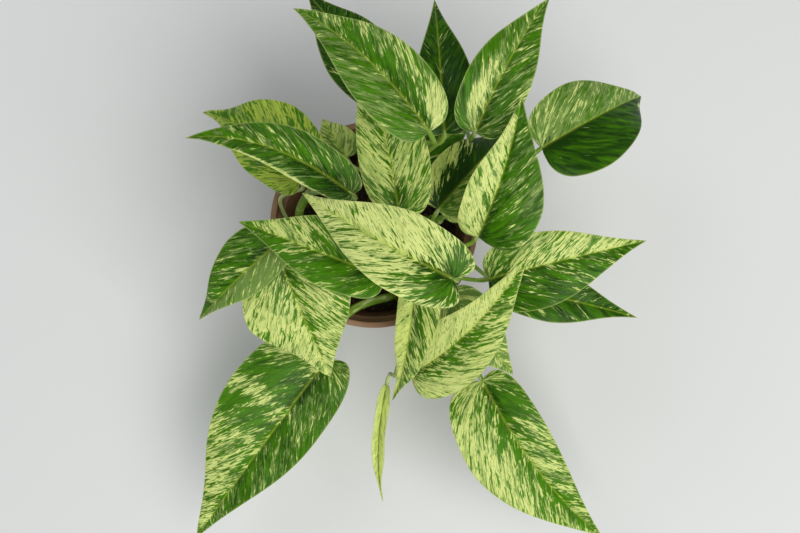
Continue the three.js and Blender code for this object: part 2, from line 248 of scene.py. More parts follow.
def centre_line(name, sides):
    """The middles of a rod's rings, from one end to the other. An end ring is the set of corners that lie in
    the plane of an end face, and no wider than the rod."""
    places, joined, triangles = corners_of(name)
    a, b, c = (places[triangles[:, k]] for k in range(3))
    away = places[None] - (a + b + c)[:, None] / 3
    flat = np.abs(np.einsum("tpk,tk->tp", away, unit(np.cross(b - a, c - a)))) < IN_PLANE
    close = lengths(away) < np.median(lengths(a - b)) * sides / 2
    for k in np.flatnonzero((flat & close).sum(axis=1) == sides):
        rings = rings_from(flat[k] & close[k], joined)
        if all(ring.sum() == sides for ring in rings):
            return np.array([places[ring].mean(axis=0) for ring in rings])
    raise ValueError(name + " has no end face")


petiole_lines = {name: centre_line("petiole_" + name, PETIOLE_SIDES) for name in leaf_names}
vine_lines = {name: centre_line(name, VINE_SIDES) for name in vine_names}
print("stalks of", {name: len(line) for name, line in petiole_lines.items()})

# %% [markdown]
# ## Spinning a fine surface over a coarse one
# A few rows and columns say enough about a leaf for collision, but a smooth margin needs a hundred rows. A natural
# cubic spline bends through the coarse points as a thin batten does round pins. Its weights depend only on the
# places along the batten, so one small matrix turns a coarse grid into a fine one.

# %% Splines
def spline_weights(knots, places):
    """The shares of evenly spaced knots in a natural cubic spline at the given places. Between two knots the
    curve is their straight mix plus cubic terms in the bending at each, and the bendings solve one linear system:
    before + 4 here + after = 6 times the second difference, with no bending at either end."""
    system, bending = np.eye(knots), np.zeros((knots, knots))
    inner = np.arange(1, knots - 1)
    system[inner, inner - 1], system[inner, inner], system[inner, inner + 1] = 1, 4, 1
    bending[inner, inner - 1], bending[inner, inner], bending[inner, inner + 1] = 6, -12, 6
    bending = np.linalg.solve(system, bending)
    k = np.clip(np.floor(places).astype(int), 0, knots - 2)
    f = (places - k)[:, None]
    straight = (1 - f) * np.eye(knots)[k] + f * np.eye(knots)[k + 1]
    return straight + ((1 - f) ** 3 - (1 - f)) / 6 * bending[k] + (f**3 - f) / 6 * bending[k + 1]


def full_turn(count):
    """Evenly spaced angles round a full turn."""
    return np.linspace(0, 2 * np.pi, count, endpoint=False)


def bump_at(distance, width):
    """A smooth bump of height one: e to the minus squared distance over width."""
    return np.exp(-((distance / width) ** 2))


def ease(low, high, value):
    """A smooth step from 0 at low to 1 at high."""
    share = np.clip((value - low) / (high - low), 0, 1)
    return share * share * (3 - 2 * share)


LATTICE = 64


def lumps(points, cell, seed):
    """Smooth random heights from -1 to 1 over flat points: a lattice of random values, mixed by eased shares."""
    lattice = np.random.default_rng(seed).uniform(-1, 1, (LATTICE, LATTICE))
    k = np.floor(points / cell).astype(int)
    f = points / cell - k
    f = f * f * (3 - 2 * f)
    x, y = k[..., 0] % (LATTICE - 1), k[..., 1] % (LATTICE - 1)
    low = lattice[x, y] * (1 - f[..., 0]) + lattice[x + 1, y] * f[..., 0]
    high = lattice[x, y + 1] * (1 - f[..., 0]) + lattice[x + 1, y + 1] * f[..., 0]
    return low * (1 - f[..., 1]) + high * f[..., 1]


# %% Putting arrays into a mesh
def piece(name, points, faces, material, nodes=(), values=None, place_map=None):
    """A closed mesh as one piece of the object: it rides the plant's body, takes a slot's finish, may stand for
    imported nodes, and carries named values per corner and a map of pattern places."""
    mesh = bpy.data.meshes.new(name)
    mesh.from_pydata(points.tolist(), [], faces if isinstance(faces, list) else faces.tolist())
    mesh.polygons.foreach_set("use_smooth", np.ones(len(mesh.polygons), bool))
    for title, corner_values in (values or {}).items():
        layer = mesh.attributes.new(title, "FLOAT", "POINT")
        layer.data.foreach_set("value", np.asarray(corner_values, np.float32).ravel())
    if place_map is not None:
        corners = np.empty(len(mesh.loops), np.int32)
        mesh.loops.foreach_get("vertex_index", corners)
        places = place_map[corners].astype(np.float32).ravel()
        mesh.uv_layers.new(name="pattern_place").data.foreach_set("uv", places)
    mesh.materials.append(material)
    made = in_scene(name, mesh)
    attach(made, "root")
    if nodes:
        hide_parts(*nodes)
    return made


# %% [markdown]
# ## Finishes
# Everything here is grown or moulded, so no finish is one flat colour. Two small effects serve them all: streaks,
# which are noise stretched along the grain of a leaf, a stalk or a wall, and a soft edge, which turns such noise
# into patches.

# %% Helpers for shader nodes
def add_node(tree, kind, sockets=None, **settings):
    """One shader node, with its settings. Each named input is set to a value, joined to a socket, or joined to
    a value that the mesh carries, given by its name."""
    made = tree.nodes.new("ShaderNode" + kind)
    for title, value in settings.items():
        setattr(made, title, value)
    for title, value in (sockets or {}).items():
        if isinstance(value, str):
            value = add_node(tree, "Attribute", attribute_name=value).outputs["Fac"]
        if isinstance(value, bpy.types.NodeSocket):
            tree.links.new(value, made.inputs[title])
        else:
            made.inputs[title].default_value = value
    return made


def calculate(tree, operation, a, b=0.0, clamp=False):
    """The result of one sum on two values or sockets."""
    return add_node(tree, "Math", {0: a, 1: b}, operation=operation, use_clamp=clamp).outputs[0]


def scaled(tree, value, factor):
    """A value times a factor."""
    return calculate(tree, "MULTIPLY", value, factor)


def total(tree, *terms, clamp=False):
    """The sum of some values, where a pair is a value and its weight."""
    terms = [scaled(tree, *term) if isinstance(term, tuple) else term for term in terms]
    for k, term in enumerate(terms[1:], 2):
        terms[0] = calculate(tree, "ADD", terms[0], term, clamp and k == len(terms))
    return terms[0]


def mixed(tree, share, first, second):
    """A colour between two others, by a share."""
    return add_node(tree, "Mix", {0: share, 6: first, 7: second}, data_type="RGBA").outputs[2]


def streaks(tree, place, stretch, detail, contrast):
    """Noise about zero, with this many grains to the metre along each axis of the place."""
    stretched = add_node(tree, "VectorMath", {0: place, 1: stretch}, operation="MULTIPLY").outputs[0]
    grain = add_node(tree, "TexNoise", {
        "Vector": stretched, "Scale": 1, "Detail": detail, "Roughness": 0.62, "Distortion": 0.7})
    return scaled(tree, calculate(tree, "SUBTRACT", grain.outputs["Fac"], 0.5), contrast)


def soft_edge(tree, value, edge, softness):
    """A mask that rises from 0 to 1 as a value passes an edge."""
    ends = {"Value": value, "From Min": edge - softness, "From Max": edge + softness}
    return add_node(tree, "MapRange", ends, interpolation_type="SMOOTHSTEP").outputs["Result"]


def dress(tree, shader, colour, roughness, height, distance, strength):
    """Joins a colour, a roughness and the relief of a height to a material's shader."""
    relief = add_node(tree, "Bump", {"Height": height, "Distance": distance, "Strength": strength})
    parts = {"Base Color": colour, "Roughness": roughness, "Normal": relief.outputs["Normal"]}
    for title, socket in parts.items():
        tree.links.new(socket, shader.inputs[title])


# %% [markdown]
# ### Leaf
# The marbling is a lottery between green and cream cells, and each winner's cells multiply along the veins. So the
# pattern reads a map whose first axis says which vein a point lies on and whose second says how far out along it.
# Broad bands, dabs, flecks and a misty half-tone between the two colours all stretch along that second axis. How
# much cream each half of each leaf has is a value that the mesh carries.

# %% Leaf colours
CREAM = (0.72, 0.82, 0.29, 1)
GOLD = (0.47, 0.62, 0.07, 1)
MIST = (0.22, 0.36, 0.085, 1)
FRESH_GREEN = (0.070, 0.235, 0.002, 1)
# the deepest green is also the colour of the shadow painted on right_back
DEEP_GREEN_AND_SHADE = (0.010, 0.050, 0.0005, 1)
PALE_EDGE = (0.56, 0.67, 0.22, 1)
UNDERSIDE = (0.36, 0.47, 0.20, 1)

# %% Leaf material
leaf_finish, tree, shader = start_material("marbled_leaf", {
    "Subsurface Weight": 0.12, "Subsurface Scale": 0.0012, "Subsurface Radius": (0.6, 1.0, 0.25),
    "Specular IOR Level": 0.14})
vein_place = add_node(tree, "UVMap", uv_map="pattern_place").outputs["UV"]
leaf_place = add_node(tree, "TexCoord").outputs["Object"]
bands = streaks(tree, vein_place, (120, 42, 1), 2.0, 3.0)
flecks = streaks(tree, vein_place, (680, 230, 1), 2.0, 4.2)
dabs = streaks(tree, vein_place, (280, 95, 1), 2.0, 3.4)
lot = total(tree, (bands, 0.30), (flecks, 0.40), (dabs, 0.36), "cream")
specks = streaks(tree, vein_place, (950, 330, 1), 1.0, 4.0)
speck_mask = scaled(tree, soft_edge(tree, specks, 0.42, 0.16), 0.8)
cream_mask = scaled(tree, soft_edge(tree, lot, 0.0, 0.10), calculate(tree, "SUBTRACT", 1.0, speck_mask))
mist_noise = streaks(tree, vein_place, (190, 70, 1), 3.0, 2.6)
mist_lot = total(tree, (lot, 0.75), (mist_noise, 0.5), "mist")
mist_mask = scaled(tree, soft_edge(tree, mist_lot, 0.0, 0.2), 0.8)
# darker green: the leaves' own on most of them, and painted shadow on the left half of right_back
deep_noise = streaks(tree, vein_place, (190, 70, 1), 3.0, 3.0)
deep_and_shade_mask = total(tree, "deep_and_shade", deep_noise, clamp=True)
green = mixed(tree, mist_mask, mixed(tree, deep_and_shade_mask, FRESH_GREEN, DEEP_GREEN_AND_SHADE), MIST)
cream_tone = total(tree, "gold", (mist_noise, 0.35), clamp=True)
haze = scaled(tree, soft_edge(tree, mist_noise, 0.22, 0.3), 0.55)
colour = mixed(tree, cream_mask, green, mixed(tree, haze, mixed(tree, cream_tone, CREAM, GOLD), MIST))
for title, share, tone in (("rib", 0.35, GOLD), ("rim", 0.5, PALE_EDGE), ("under", 0.45, UNDERSIDE)):
    colour = mixed(tree, scaled(tree, title, share), colour, tone)
skin = streaks(tree, leaf_place, (900, 900, 900), 3.0, 1.0)
rough = total(tree, (cream_mask, 0.08), (skin, 0.1), ("under", 0.2), 0.40)
fibres = streaks(tree, vein_place, (900, 130, 1), 2.0, 1.0)
dress(tree, shader, colour, rough, total(tree, fibres, (skin, 0.6)), 0.0002, 0.35)
print("the leaf material has", len(tree.nodes), "nodes")

# %% [markdown]
# ### Stalk and stem
# Young stalks are a clear yellow-green with fine lengthwise fibres, some of them streaked with cream like the
# leaves. Near a joint the skin turns brown and corky. Where a stalk meets its blade it is painted paler, a painted
# highlight for the light that falls on its top.

# %% Stalk material
STALK_GREEN, STALK_LIGHT = (0.12, 0.26, 0.012, 1), (0.26, 0.42, 0.03, 1)
# the cream colour also paints a highlight at the top of each stalk
STALK_CREAM_AND_HIGHLIGHT, CORK = (0.56, 0.66, 0.28, 1), (0.14, 0.085, 0.035, 1)
stalk_finish, tree, shader = start_material("green_stalk", {"Subsurface Weight": 0.1, "Subsurface Scale": 0.0015})
along_place = add_node(tree, "UVMap", uv_map="pattern_place").outputs["UV"]
fibre = streaks(tree, along_place, (2600, 60, 1), 3.0, 1.6)
dapple = streaks(tree, along_place, (500, 90, 1), 2.0, 3.0)
colour = mixed(tree, total(tree, fibre, 0.4, clamp=True), STALK_GREEN, STALK_LIGHT)
# the cream share also carries a painted highlight where each stalk meets its blade
cream_and_highlight_mask = soft_edge(tree, total(tree, dapple, "cream_and_highlight"), 0.5, 0.35)
colour = mixed(tree, cream_and_highlight_mask, colour, STALK_CREAM_AND_HIGHLIGHT)
cork_mask = soft_edge(tree, total(tree, "cork", (dapple, 0.4)), 0.55, 0.25)
colour = mixed(tree, cork_mask, colour, CORK)
dress(tree, shader, colour, total(tree, (cork_mask, 0.35), 0.42), fibre, 0.0002, 0.5)
print("the stalk material has", len(tree.nodes), "nodes")

# %% [markdown]
# ### Pot and soil
# The pot is the thin brown plastic that nurseries use: a little glossy, scuffed pale along its edges and dusty
# where soil has dried on it. Light and shade are painted on it too: lit patches over the dust, and painted shade
# that darkens the wall towards the floor. The soil is a dark peat mix, matt and damp, with brown bark and a few pale
# grains.

# %% Pot material
POT_BROWN, POT_LIGHT = (0.30, 0.15, 0.08, 1), (0.40, 0.215, 0.125, 1)
# the last colour here, a near-black brown, paints shade on the pot's wall
DUST_AND_LIGHT, WALL_SHADE = (0.40, 0.28, 0.20, 1), (0.045, 0.03, 0.014, 1)
pot_finish, tree, shader = start_material("brown_pot_plastic", {"Specular IOR Level": 0.4})
pot_place = add_node(tree, "TexCoord").outputs["Object"]
scuffs = streaks(tree, pot_place, (90, 90, 500), 3.0, 2.2)
clouds = streaks(tree, pot_place, (28, 28, 22), 3.0, 2.0)
plastic = mixed(tree, total(tree, clouds, 0.5, clamp=True), POT_BROWN, POT_LIGHT)
# dust on the rim, ledge and foot, and painted light: the lit patches lighten and darken the wall through this mask
dust_and_light_mask = soft_edge(tree, total(tree, (scuffs, 0.5), "dust_and_light"), 0.45, 0.4)
plastic = mixed(tree, scaled(tree, dust_and_light_mask, 0.5), plastic, DUST_AND_LIGHT)
# painted shade: the wall is darkened where the mesh marks it, in cloudy patches
wall_shade_mask = soft_edge(tree, total(tree, (clouds, 0.6), "wall_shade"), 0.5, 0.35)
plastic = mixed(tree, scaled(tree, wall_shade_mask, 0.75), plastic, WALL_SHADE)
rough = total(tree, (dust_and_light_mask, 0.25), 0.42, (scuffs, 0.06))
grains = streaks(tree, pot_place, (2600, 2600, 2600), 2.0, 1.0)
dress(tree, shader, plastic, rough, total(tree, grains, scuffs), 0.0001, 0.25)
print("the pot material has", len(tree.nodes), "nodes")

# %% Soil material
PEAT_DARK, PEAT_LIGHT = (0.008, 0.006, 0.004, 1), (0.045, 0.028, 0.016, 1)
BARK, GRIT = (0.12, 0.062, 0.030, 1), (0.50, 0.47, 0.40, 1)
soil_finish, tree, shader = start_material("peat_soil", {"Specular IOR Level": 0.3})
soil_place = add_node(tree, "TexCoord").outputs["Object"]
peat = streaks(tree, soil_place, (420, 420, 420), 4.0, 2.2)
colour = mixed(tree, total(tree, peat, 0.4, clamp=True), PEAT_DARK, PEAT_LIGHT)
bark_share = scaled(tree, soft_edge(tree, "tint", 0.62, 0.12), 0.8)
grit_share = soft_edge(tree, "tint", 0.965, 0.01)
colour = mixed(tree, grit_share, mixed(tree, bark_share, colour, BARK), GRIT)
dress(tree, shader, colour, total(tree, (peat, 0.1), 0.85), peat, 0.0004, 0.8)
print("the soil material has", len(tree.nodes), "nodes")

# %% [markdown]
# ## The leaves
# A pothos leaf is a lopsided heart. Each half is gently domed, the midrib lies in a groove above and stands out as
# a rib below, and side veins leave it at a slant and bend forward to the margin. Those near the stalk fan out into
# the lobes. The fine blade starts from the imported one, gets that relief along its own normals, and becomes a
# closed sheet with a thin edge.

# %% How each leaf is marked
def marks(cream, deep_and_shade, mist=(0, 0), gold=0, patches=()):
    """How much of the left and of the right half is cream, as seen from the stalk; how dark their green is, a
    darkness that on one leaf is a painted shadow; how misty they are; how yellow the cream is. A patch is along,
    across, its two reaches, and by how much it changes the odds of cream: the first from 0 at the stalk to 1 at the
    tip, the second from -1 to 1."""
    return {"cream": cream, "deep_and_shade": deep_and_shade, "mist": mist, "gold": gold, "patches": patches}


LOOKS = {
    "crown": marks((0.68, 0.78), (0.45, 0.45), patches=[
        (-0.02, 0.0, 0.14, 0.9, -5.0), (0.10, -0.55, 0.12, 0.4, -1.2), (0.45, 0.45, 0.2, 0.4, 0.9)]),
    "shoulder": marks((0.93, 0.60), (0.10, 0.15), gold=0.15, patches=[
        (0.30, 0.85, 0.35, 0.35, 1.6), (0.35, 0.25, 0.4, 0.3, -1.4), (0.85, 0.5, 0.2, 0.5, -2.0)]),
    "front": marks((0.52, 0.90), (0.45, 0.10), gold=0.35, patches=[
        (0.25, -0.35, 0.2, 0.25, -1.5), (0.5, 0.02, 0.6, 0.14, 2.5), (0.6, 0.95, 0.7, 0.3, 4.0)]),
    "right": marks((0.56, 0.12), (0.15, 0.55), patches=[
        (0.75, -0.4, 0.3, 0.5, 1.2), (0.1, -0.5, 0.12, 0.5, -1.5)]),
    "right_low": marks((0.10, 0.08), (0.75, 0.65)),
    "left": marks((0.10, 0.24), (0.30, 0.25), gold=0.2, patches=[
        (0.62, 0.5, 0.22, 0.6, 2.2), (0.12, 0.3, 0.2, 0.6, -2.0)]),
    "left_low": marks((0.16, 0.08), (0.70, 0.60), mist=(0.5, 0.1)),
    "front_left": marks((0.68, 0.70), (0.20, 0.15), gold=0.1, patches=[
        (0.0, 0.0, 0.2, 0.5, -2.4), (0.5, -0.1, 0.35, 0.1, -1.8), (0.15, -0.9, 0.25, 0.25, -1.2)]),
    "trailing_left": marks((0.10, 0.28), (0.55, 0.30), mist=(0.12, 0.0), gold=0.1, patches=[
        (0.02, 0.75, 0.1, 0.4, 2.6), (0.17, 0.6, 0.09, 0.7, -2.6), (0.28, 0.6, 0.05, 0.7, 2.2),
        (0.37, 0.6, 0.06, 0.8, -2.0), (0.7, 0.6, 0.25, 0.5, 1.2), (0.0, -0.8, 0.12, 0.4, 1.2)]),
    "trailing_right": marks((0.44, 0.50), (0.25, 0.10), gold=0.15, patches=[
        (0.16, -0.45, 0.1, 0.5, -3.4), (0.5, 0.12, 0.5, 0.14, -2.0), (0.8, 0.35, 0.15, 0.3, -2.0),
        (0.25, 0.85, 0.3, 0.35, 1.2)]),
    "furled": marks((0.98, 0.98), (0.0, 0.0), gold=-0.2),
    "back_left": marks((0.10, 0.16), (0.45, 0.40), mist=(0.25, 0.1), patches=[
        (0.06, 0.65, 0.14, 0.35, 3.4), (0.25, 0.3, 0.3, 0.2, -1.6), (0.7, 0.75, 0.3, 0.3, 1.0)]),
    "back_left_low": marks((0.06, 0.07), (0.85, 0.80)),
    "back": marks((0.02, 0.02), (0.85, 0.85), mist=(0.1, 0.05)),
    "back_low": marks((0.10, 0.10), (0.20, 0.20)),
    "back_right": marks((0.22, 0.12), (0.40, 0.50), mist=(0.15, 0.15), patches=[
        (0.24, -0.42, 0.18, 0.22, 3.4), (0.2, -0.8, 0.25, 0.18, -3.0), (0.62, -0.6, 0.2, 0.4, -1.0)]),
    "far_right": marks((0.16, 0.03), (0.40, 0.80), mist=(0.3, 0.0), patches=[
        (0.86, 0.72, 0.07, 0.2, 5.0), (0.12, -0.6, 0.15, 0.5, 1.4), (0.5, 0.5, 0.7, 0.7, -1.5)]),
    "right_high": marks((0.74, 0.10), (0.15, 0.60), mist=(0.1, 0.15), patches=[
        (0.9, 0.0, 0.12, 1.0, -1.5), (0.05, 0.3, 0.15, 0.4, -3.0), (0.65, 0.05, 0.3, 0.12, -2.0)]),
    # right_back: past the cream at its left margin, its left half is painted shadow. The deepest green, less mist
    # and almost no cream stand for the shade that back_right and right_high cast on it.
    "right_back": marks((0.02, 0.34), (1.0, 0.0), mist=(-0.2, 0.2), gold=0.4, patches=[
        (0.25, -0.9, 0.34, 0.42, 7.0)]),
    "middle_back": marks((0.66, 0.60), (0.20, 0.20), gold=0.25, patches=[
        (0.02, 0.0, 0.16, 0.7, -2.4), (0.85, -0.5, 0.2, 0.5, -1.6)]),
    "left_high": marks((0.07, 0.09), (0.65, 0.50), mist=(0.15, 0.1), patches=[
        (0.2, -0.3, 0.3, 0.3, -1.5), (0.42, -1.0, 0.26, 0.10, 9.0)]),
    "left_back": marks((0.60, 0.62), (0.15, 0.15), gold=1.0, patches=[
        (0.78, 0.35, 0.1, 0.4, -3.4), (0.12, 0.6, 0.12, 0.5, -1.6)]),
    "small_back": marks((0.60, 0.60), (0.10, 0.10), mist=(0.4, 0.4), gold=0.3),
    "under_shoulder": marks((0.40, 0.30), (0.50, 0.60), mist=(0.4, 0.3)),
}
assert sorted(LOOKS) == leaf_names

# %% The veins
VEIN_SLANT = 1.15  # how far a side vein runs forward for each step outward, where it leaves the midrib
VEIN_BEND = 0.55  # how much more it runs forward by the margin
VEIN_FAN = 0.30  # how widely the fan of veins at the stalk is spread on the map, as a share of the length


def flat_place(grid, spine):
    """How far along the midrib each point lies and how far out from it: the nearest point of the midrib gives the
    first, and behind the stalk the midrib goes on straight."""
    heading = unit(np.gradient(spine, axis=0))
    nearest = np.argmin(lengths(grid[..., None, :] - spine), axis=-1)
    off = grid - spine[nearest]
    ahead = np.einsum("...k,...k->...", off, heading[nearest])
    return run_of(spine)[nearest] + ahead, lengths(off - ahead[..., None] * heading[nearest])


def vein_map(along, out, side, length, widest):
    """Which vein a point lies on, as the place where it left the midrib, and how far out along it, left negative.
    A vein's run forward is its slant times the distance out, plus a bend that grows with its square. A point
    behind the first vein takes a place below zero from its angle round the stalk."""
    bent = along - VEIN_BEND * out**2 / widest
    leaves = bent - VEIN_SLANT * out
    angle = np.arctan2(out, bent) - np.arctan2(1, VEIN_SLANT)
    vein = np.where(leaves > 0, leaves, -VEIN_FAN * length * np.maximum(angle, 0))
    reach = np.where(leaves > 0, out * np.hypot(1, VEIN_SLANT), np.hypot(out, bent))
    return vein, side * reach


# %% Lopsided outlines
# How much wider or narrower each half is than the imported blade, near the stalk, in the middle and near the tip:
# the left half first, as seen from the stalk. Most leaves draw in a little before the tip.
PLAIN_TRIM = ((1.0, 1.0, 0.86), (1.0, 1.0, 0.86))
TRIMS = {
    "front": ((0.90, 0.62, 0.40), (1.25, 0.85, 0.45)), "middle_back": ((0.66, 0.82, 0.86), (1.0, 1.0, 0.86)),
    "left_back": ((1.0, 1.0, 0.62), (1.0, 1.0, 0.62)), "left_high": ((0.92, 0.90, 0.90), (0.94, 1.04, 0.90)),
    "trailing_right": ((1.0, 0.94, 0.92), (1.0, 1.05, 0.86)), "far_right": ((1.0, 1.06, 0.80), (1.0, 1.0, 1.04)),
    "right_low": ((1.0, 1.0, 0.75), (1.0, 1.0, 0.75)),
}
TRIM_PLACES, TRIM_REACH = (0.12, 0.5, 0.85), 0.2


def trimmed(by_rows, rows, trim):
    """Coarse rows with their halves made wider or narrower: one plus a smooth bump for each of three places along
    the blade, times the offset from the midrib."""
    bumps = [bump_at(rows / rows[-1] - place, TRIM_REACH) for place in TRIM_PLACES]
    left, right = (1 + sum((f - 1) * bump for f, bump in zip(half, bumps)) for half in trim)
    middle = BLADE_COLUMNS // 2
    spine = by_rows[:, middle:middle + 1]
    factor = np.where(np.arange(BLADE_COLUMNS) < middle, left[:, None], right[:, None])
    return spine + (by_rows - spine) * factor[..., None]


# %% A blade's fine grid
BLADE_FINE_ROWS, HALF_FINE_COLUMNS = 104, 22
TIP_GAP = 0.02  # how many coarse rows before the tip the last fine row lies


def crowded(count):
    """Places from 0 to 1 that crowd towards both ends."""
    return 0.5 - 0.5 * np.cos(np.pi * np.linspace(0, 1, count))


def fine_grid(coarse, trim):
    """A coarse grid splined along its rows, trimmed, and splined along each half of its columns; and how far
    across each fine column lies, from -1 at the left margin to 1 at the right."""
    rows = 0.6 * np.linspace(0, 1, BLADE_FINE_ROWS) + 0.4 * crowded(BLADE_FINE_ROWS)
    rows *= len(coarse) - 1 - TIP_GAP
    half = crowded(HALF_FINE_COLUMNS + 1)
    by_rows = trimmed(np.einsum("rk,kcx->rcx", spline_weights(len(coarse), rows), coarse), rows, trim)
    left = np.einsum("sc,rcx->rsx", spline_weights(4, 3 * (1 - half[::-1])), by_rows[:, :4])
    right = np.einsum("sc,rcx->rsx", spline_weights(4, 3 * half), by_rows[:, 3:])
    return np.concatenate([left, right[:, 1:]], axis=1), np.concatenate([-half[::-1], half[1:]])


# %% What a blade carries
SHARE_TO_LOT = 0.14  # turns the odds of cream against green into a step of the lot that the material draws


def marked(looks, side, edge, run, out, to_rim):
    """The values that colour a blade. The lot for cream is the logarithm of its odds on each half, plus a smooth
    bump for each patch; the green deepens near the foot of the midrib; rim and rib are bumps at those lines."""
    odds, deep_and_shade, mist = (np.where(side < 0, *looks[title]) for title in ("cream", "deep_and_shade", "mist"))
    cream = SHARE_TO_LOT * np.log(odds / (1 - odds))
    for along, across, reach_along, reach_across, change in looks["patches"]:
        patch = bump_at(run - along, reach_along) * bump_at(side * edge - across, reach_across)
        cream = cream + SHARE_TO_LOT * change * patch
    return {
        "cream": cream, "mist": mist, "gold": np.full_like(out, looks["gold"]),
        "deep_and_shade": deep_and_shade + 0.6 * bump_at(out, 3.5 * MM) * (1 - ease(0.1, 0.45, run)),
        "rim": bump_at(to_rim, 0.30 * MM),
        "rib": bump_at(out, (0.80 - 0.55 * np.clip(run, 0, 1)) * MM),
    }


# %% One fine blade
BLADE_THICKNESS = 0.45 * MM
VEINS_A_SIDE = 10
DOME, WAVE = 0.075, 0.055  # heights, as shares of a half's width and of the widest half
GROOVE_DEPTH, VEIN_DEPTH, PUCKER_HEIGHT = 0.45 * MM, 0.26 * MM, 0.22 * MM


def fine_blade(name, number):
    """A blade's fine grid and what it carries. Every point moves along the surface's normal by the sum of a dome
    on each half, waves that grow to the margin, a groove at the midrib, shallow grooves at the veins and small
    puckers between them."""
    grid, across = fine_grid(coarse_blades[name], TRIMS.get(name, PLAIN_TRIM))
    spine = grid[:, HALF_FINE_COLUMNS]
    along, out = flat_place(grid, spine)
    length, widest = run_of(spine)[-1], out.max()
    run = along / length
    side, edge = np.sign(across) * np.ones_like(out), np.abs(across) * np.ones_like(out)
    vein, reach = vein_map(along, out, side, length, widest)
    half_width = np.where(side < 0, out[:, :1], out[:, -1:])
    to_rim = np.minimum((1 - edge) * half_width, 4 * np.abs(along - along[:1]) + (1 - edge) * widest)

    rng = np.random.default_rng(100 + number)
    phase, turns = rng.uniform(0, 2 * np.pi, 2), rng.uniform(1.4, 2.4, 2)
    wave = np.sin(2 * np.pi * np.where(side < 0, *turns) * run + np.where(side < 0, *phase))
    dome = DOME * half_width * (1 - (2 * edge - 1) ** 2)
    waves = WAVE * widest * edge**2 * wave * ease(0, 0.12, run) * ease(0, 0.10, 1 - run)
    groove = -GROOVE_DEPTH * bump_at(out, 0.9 * MM) * ease(0, 0.05, run) * ease(0, 0.35, 1 - run)
    spacing = length / VEINS_A_SIDE
    to_vein = np.abs((vein / spacing + 0.5) % 1 - 0.5) * spacing
    veins = -VEIN_DEPTH * bump_at(to_vein, 1.0 * MM) * ease(0, 2 * MM, out) * ease(0, 4 * MM, to_rim)
    puckers = PUCKER_HEIGHT * lumps(np.stack([vein, reach], -1) + 0.5, 5 * MM, number) * ease(0, 3 * MM, to_rim)
    normal = unit(np.cross(np.gradient(grid, axis=0), -np.gradient(grid, axis=1)))
    normal *= np.sign(normal[..., 2].mean())
    grid = grid + normal * (dome + waves + groove + veins + puckers)[..., None]
    base = grid[0, HALF_FINE_COLUMNS], unit(spine[3] - spine[0]), normal[2, HALF_FINE_COLUMNS]
    return {"grid": grid, "normal": normal, "edge": edge, "run": run, "out": out, "length": length, "base": base,
            "spine": grid[:, HALF_FINE_COLUMNS], "values": marked(LOOKS[name], side, edge, run, out, to_rim),
            "map": np.stack([vein + 0.37 * number, reach + 0.11 * number], axis=-1)}


blades = {name: fine_blade(name, number) for number, name in enumerate(leaf_names)}
print("leaves in mm:", sorted(round(blade["length"] / MM) for blade in blades.values()))


# %% Closing a grid into a sheet
def sheet_faces(rows, columns):
    """Faces of a closed sheet from two like grids of corners, upper first: both grids' squares, the lower ones
    turned round, and a wall of squares between the two outlines."""
    index = np.arange(rows * columns).reshape(rows, columns)
    squares = np.stack([index[:-1, :-1], index[:-1, 1:], index[1:, 1:], index[1:, :-1]], -1).reshape(-1, 4)
    outline = np.concatenate([index[0, :-1], index[:-1, -1], index[-1, :0:-1], index[:0:-1, 0]])
    ahead = np.roll(outline, -1)
    lower = rows * columns
    walls = np.stack([ahead, outline, outline + lower, ahead + lower], -1)
    return np.concatenate([squares, squares[:, ::-1] + lower, walls])


def leaf_piece(name, blade):
    """A leaf's blade as a closed sheet: half the thickness to each side, thinner at the margin, and below also the
    round rib under the midrib."""
    thickness = BLADE_THICKNESS / 2 * (0.45 + 0.55 * ease(0, 0.1, 1 - blade["edge"]))
    rib = 0.75 * MM * bump_at(blade["out"], 0.8 * MM) * (1 - ease(0.1, 1, blade["run"]))
    rib = rib * ease(-0.05, 0.03, blade["run"])
    upper = blade["grid"] + blade["normal"] * thickness[..., None]
    lower = blade["grid"] - blade["normal"] * (thickness + rib)[..., None]
    faces = sheet_faces(*blade["edge"].shape)
    first = upper.reshape(-1, 3)[faces[0]]
    if np.cross(first[1] - first[0], first[3] - first[0]) @ blade["normal"][0, 0] < 0:
        faces = faces[:, ::-1]
    values = {title: np.concatenate([value.ravel()] * 2) for title, value in blade["values"].items()}
    values["under"] = np.repeat([0.0, 1.0], blade["edge"].size)
    both_maps = np.concatenate([blade["map"].reshape(-1, 2)] * 2)
    points = np.concatenate([upper.reshape(-1, 3), lower.reshape(-1, 3)])
    return piece("leaf_" + name, points, faces, leaf_finish, ["blade_" + name], values, both_maps)


leaves = {name: leaf_piece(name, blade) for name, blade in blades.items()}
print(len(leaves), "leaves of", len(leaves["crown"].data.polygons), "faces each")

# %% [markdown]
# ## Stalks and stems
# Both are rods that swell, taper and carry a groove, so one function makes them: a round profile is carried along
# a smooth line in a frame that never spins, and the radius depends on how far along and how far round a point is.

# %% Carrying a profile along a line
def smooth_line(points, count):
    """A spline through the points of a line, at this many evenly spaced places."""
    dense = spline_weights(len(points), np.linspace(0, len(points) - 1, 8 * count)) @ points
    run = run_of(dense)
    even = np.linspace(0, run[-1], count)
    return np.stack([np.interp(even, run, dense[:, k]) for k in range(3)], -1), even


def steady_frames(line, first_up):
    """Two directions square to the line at each of its points. Each is the one before, made square to the new
    heading, so the frame turns with the line but doesn't spin round it."""
    heading = unit(np.gradient(line, axis=0))
    ups = [unit(first_up - (first_up @ heading[0]) * heading[0])]
    for ahead in heading[1:]:
        ups.append(unit(ups[-1] - (ups[-1] @ ahead) * ahead))
    return np.array(ups), np.cross(heading, np.array(ups))


